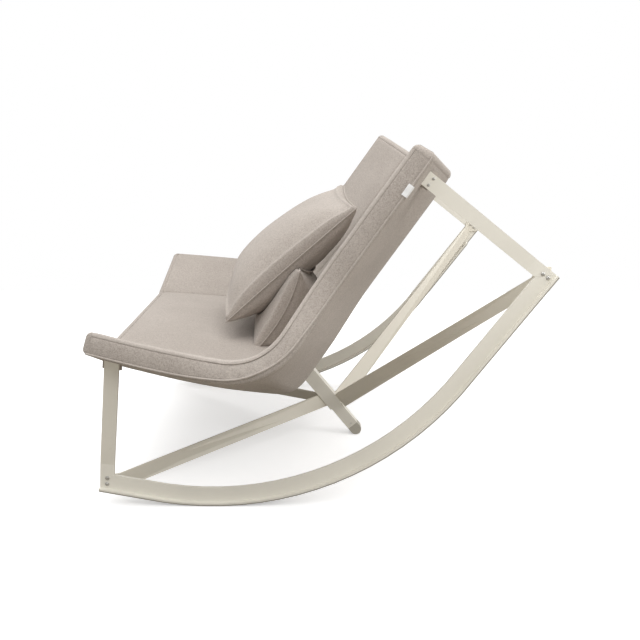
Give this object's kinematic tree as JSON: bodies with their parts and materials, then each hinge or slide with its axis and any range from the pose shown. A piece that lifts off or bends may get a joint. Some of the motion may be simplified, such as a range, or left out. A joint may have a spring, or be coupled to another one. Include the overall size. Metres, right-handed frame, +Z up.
{
  "type": "rocking lounge chair",
  "caption": "Low rocking lounge chair: a wide padded tray-shaped seat and back on bent steel rockers, with cross braces, a sliding stop bar that props it on the floor, and loose pillows.",
  "frame": {"origin": "on the floor, under the middle of the chair's bounding box", "axes": "+Z up; -X towards the front of the chair, where the sitter looks; -Y to the sitter's left"},
  "size_m": [1.1154, 1.4592, 0.8872],
  "materials": {
    "upholstery": "woven greige cloth over foam",
    "pillow_cover": "woven greige cloth, same as the seat",
    "cream_steel": "satin cream powder coat",
    "zinc": "satin",
    "tread_rubber": "matt",
    "knob_plastic": "matt",
    "plywood": "raw bent plywood",
    "label_cloth": "plain white ribbon"
  },
  "bodies": {
    "chair": {"seat_back_pad": "upholstery", "left_wing_pad": "upholstery", "right_wing_pad": "upholstery", "outer_back_pad": "upholstery", "front_band": "upholstery", "top_band": "upholstery", "shell_core": "plywood", "left_rocker": "cream_steel", "left_tread": "tread_rubber", "left_front_leg": "cream_steel", "left_back_link": "cream_steel", "left_front_brace": "cream_steel", "left_rear_brace": "cream_steel", "left_leg_bracket": "cream_steel", "left_link_bracket": "cream_steel", "left_front_bolt_1": "zinc", "left_rear_bolt_1": "zinc", "left_leg_screw_1": "zinc", "left_link_screw_1": "zinc", "left_leg_core_screw_1": "zinc", "left_link_core_screw_1": "zinc", "left_front_bolt_2": "zinc", "left_rear_bolt_2": "zinc", "left_leg_screw_2": "zinc", "left_link_screw_2": "zinc", "left_leg_core_screw_2": "zinc", "left_link_core_screw_2": "zinc", "right_rocker": "cream_steel", "right_tread": "tread_rubber", "right_front_leg": "cream_steel", "right_back_link": "cream_steel", "right_front_brace": "cream_steel", "right_rear_brace": "cream_steel", "right_leg_bracket": "cream_steel", "right_link_bracket": "cream_steel", "right_front_bolt_1": "zinc", "right_rear_bolt_1": "zinc", "right_leg_screw_1": "zinc", "right_link_screw_1": "zinc", "right_leg_core_screw_1": "zinc", "right_link_core_screw_1": "zinc", "right_front_bolt_2": "zinc", "right_rear_bolt_2": "zinc", "right_leg_screw_2": "zinc", "right_link_screw_2": "zinc", "right_leg_core_screw_2": "zinc", "right_link_core_screw_2": "zinc", "saddle_bolt_1": "zinc", "saddle_bolt_2": "zinc", "saddle_bolt_3": "zinc", "saddle_bolt_4": "zinc", "stop_sleeve": "cream_steel", "sleeve_saddle": "cream_steel", "clamp_knob": "knob_plastic", "large_pillow": "pillow_cover", "small_pillow": "pillow_cover", "label_tab": "label_cloth"},
    "stop": {"stop_bar": "cream_steel", "stop_foot": "tread_rubber", "foot_pin": "zinc"}
  },
  "joints": [
    {"name": "stop_slide", "type": "slide", "parent": "chair", "child": "stop", "axis": [-0.6307, 0, 0.776], "range_m": [0, 0.085]}
  ]
}
